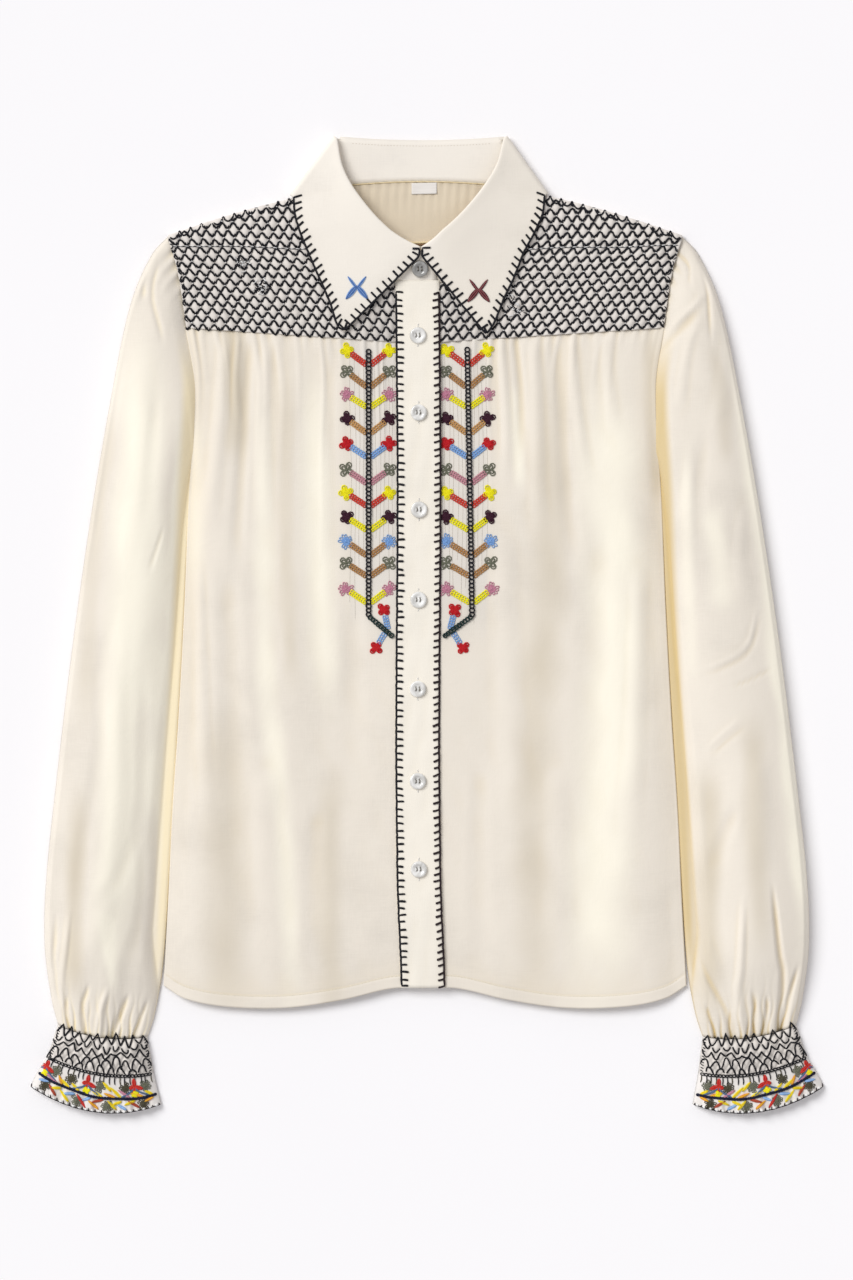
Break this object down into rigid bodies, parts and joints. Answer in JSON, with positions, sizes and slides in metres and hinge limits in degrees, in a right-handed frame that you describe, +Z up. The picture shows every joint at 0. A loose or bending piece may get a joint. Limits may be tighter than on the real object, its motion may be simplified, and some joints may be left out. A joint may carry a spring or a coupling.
{
  "type": "embroidered top",
  "caption": "Cream cotton folk blouse laid flat: buttoned front, pointed collar, smocked yokes and cuffs, embroidered trees beside the placket, long full sleeves with ruffled cuffs.",
  "frame": {"origin": "on the surface that the blouse lies on, under the middle of its bounding box", "axes": "+X towards the wearer's left, +Y from the hem to the collar, +Z up, out of the front"},
  "size_m": [0.5954, 0.7298, 0.0257],
  "materials": {
    "cream_lawn": "matt, fine plain weave",
    "smocked_lawn": "matt, smocked",
    "banded_lawn": "matt, folded and pressed",
    "label_tape": "smooth woven tape",
    "button_shell": "polished, pearly"
  },
  "bodies": {
    "root": {"back": "cream_lawn", "front_right": "cream_lawn", "front_left": "cream_lawn", "yoke_right": "smocked_lawn", "yoke_left": "smocked_lawn", "placket": "banded_lawn", "button_band": "banded_lawn", "collar_stand": "banded_lawn", "collar": "banded_lawn", "sleeve_right": "cream_lawn", "sleeve_left": "cream_lawn", "cuff_right": "smocked_lawn", "cuff_left": "smocked_lawn", "button_1": "button_shell", "button_2": "button_shell", "button_3": "button_shell", "button_4": "button_shell", "button_5": "button_shell", "button_6": "button_shell", "button_7": "button_shell", "button_8": "button_shell", "label": "label_tape"}
  },
  "joints": []
}
